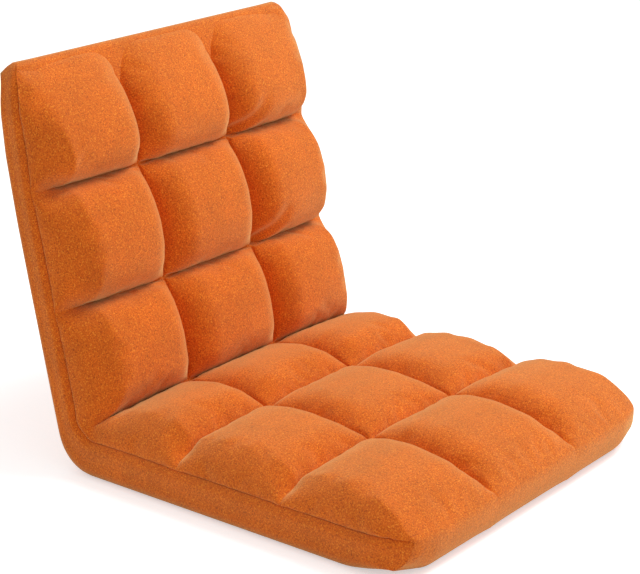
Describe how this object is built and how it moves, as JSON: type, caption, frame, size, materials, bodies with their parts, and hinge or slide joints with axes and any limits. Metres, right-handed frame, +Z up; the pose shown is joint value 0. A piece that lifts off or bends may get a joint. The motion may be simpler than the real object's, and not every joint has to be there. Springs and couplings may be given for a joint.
{
  "type": "folding floor chair",
  "caption": "Legless folding floor chair: a tufted fabric seat and back on tube frames, joined by ratchet hinges that recline from folded to flat.",
  "frame": {"origin": "on the floor, at the middle of the seat's flat underside", "axes": "+Z up, the chair faces -Y, +X is the sitter's left; the hinge axis lies along X behind the origin"},
  "size_m": [0.522, 0.588, 0.4871],
  "materials": {
    "orange_fabric": "matte",
    "lining_cloth": "matte",
    "foam": "matte",
    "frame_steel": "satin",
    "hinge_steel": "satin",
    "spring_steel": "polished",
    "zip_tape": "matte",
    "zip_teeth": "satin",
    "zip_metal": "gloss"
  },
  "bodies": {
    "seat": {"seat_tufts_rear": "orange_fabric", "seat_tufts_middle": "orange_fabric", "seat_tufts_front": "orange_fabric", "hinge_wrap": "orange_fabric", "seat_cover": "orange_fabric", "seat_backing": "lining_cloth", "seat_foam": "foam", "seat_tube": "frame_steel", "seat_cross_bars": "frame_steel", "left_case_outer": "hinge_steel", "left_case_inner": "hinge_steel", "left_hinge_pin": "hinge_steel", "left_pawl_pin": "hinge_steel", "left_pawl_spring": "spring_steel", "left_seat_tang": "hinge_steel", "right_case_outer": "hinge_steel", "right_case_inner": "hinge_steel", "right_hinge_pin": "hinge_steel", "right_pawl_pin": "hinge_steel", "right_pawl_spring": "spring_steel", "right_seat_tang": "hinge_steel", "tang_rivets": "hinge_steel", "seat_tube_rivets": "hinge_steel", "zip_tape": "zip_tape", "zip_chain": "zip_teeth"},
    "back": {"back_tufts_low": "orange_fabric", "back_tufts_middle": "orange_fabric", "back_tufts_top": "orange_fabric", "back_cover": "orange_fabric", "back_backing": "lining_cloth", "back_foam": "foam", "back_tube": "frame_steel", "back_cross_bars": "frame_steel", "left_toothed_plate": "hinge_steel", "right_toothed_plate": "hinge_steel", "back_tube_rivets": "hinge_steel"},
    "left_pawl": {"left_pawl": "hinge_steel"},
    "right_pawl": {"right_pawl": "hinge_steel"},
    "zip_slider": {"zip_slider": "zip_metal"}
  },
  "joints": [
    {"name": "recline", "type": "hinge", "parent": "seat", "child": "back", "pos_m": [0, 0.231, 0.05], "axis": [-1, 0, 0], "range_deg": [-66.43, 77.5], "deforming": ["seat_tufts_rear", "back_tufts_low", "hinge_wrap"]},
    {"name": "left_pawl_turn", "type": "hinge", "parent": "seat", "child": "left_pawl", "pos_m": [0.215, 0.21159, 0.03553], "axis": [-1, 0, 0], "range_deg": [-9.36, 0], "stiffness_Nm_per_rad": 0.02, "springref_deg": -9.36, "deforming": ["left_pawl_spring"]},
    {"name": "right_pawl_turn", "type": "hinge", "parent": "seat", "child": "right_pawl", "pos_m": [-0.215, 0.21159, 0.03553], "axis": [-1, 0, 0], "range_deg": [-9.36, 0], "stiffness_Nm_per_rad": 0.02, "springref_deg": -9.36, "deforming": ["right_pawl_spring"]},
    {"name": "zip_slide", "type": "slide", "parent": "seat", "child": "zip_slider", "axis": [1, 0, 0], "range_m": [0, 0.355], "deforming": ["zip_chain"]}
  ]
}
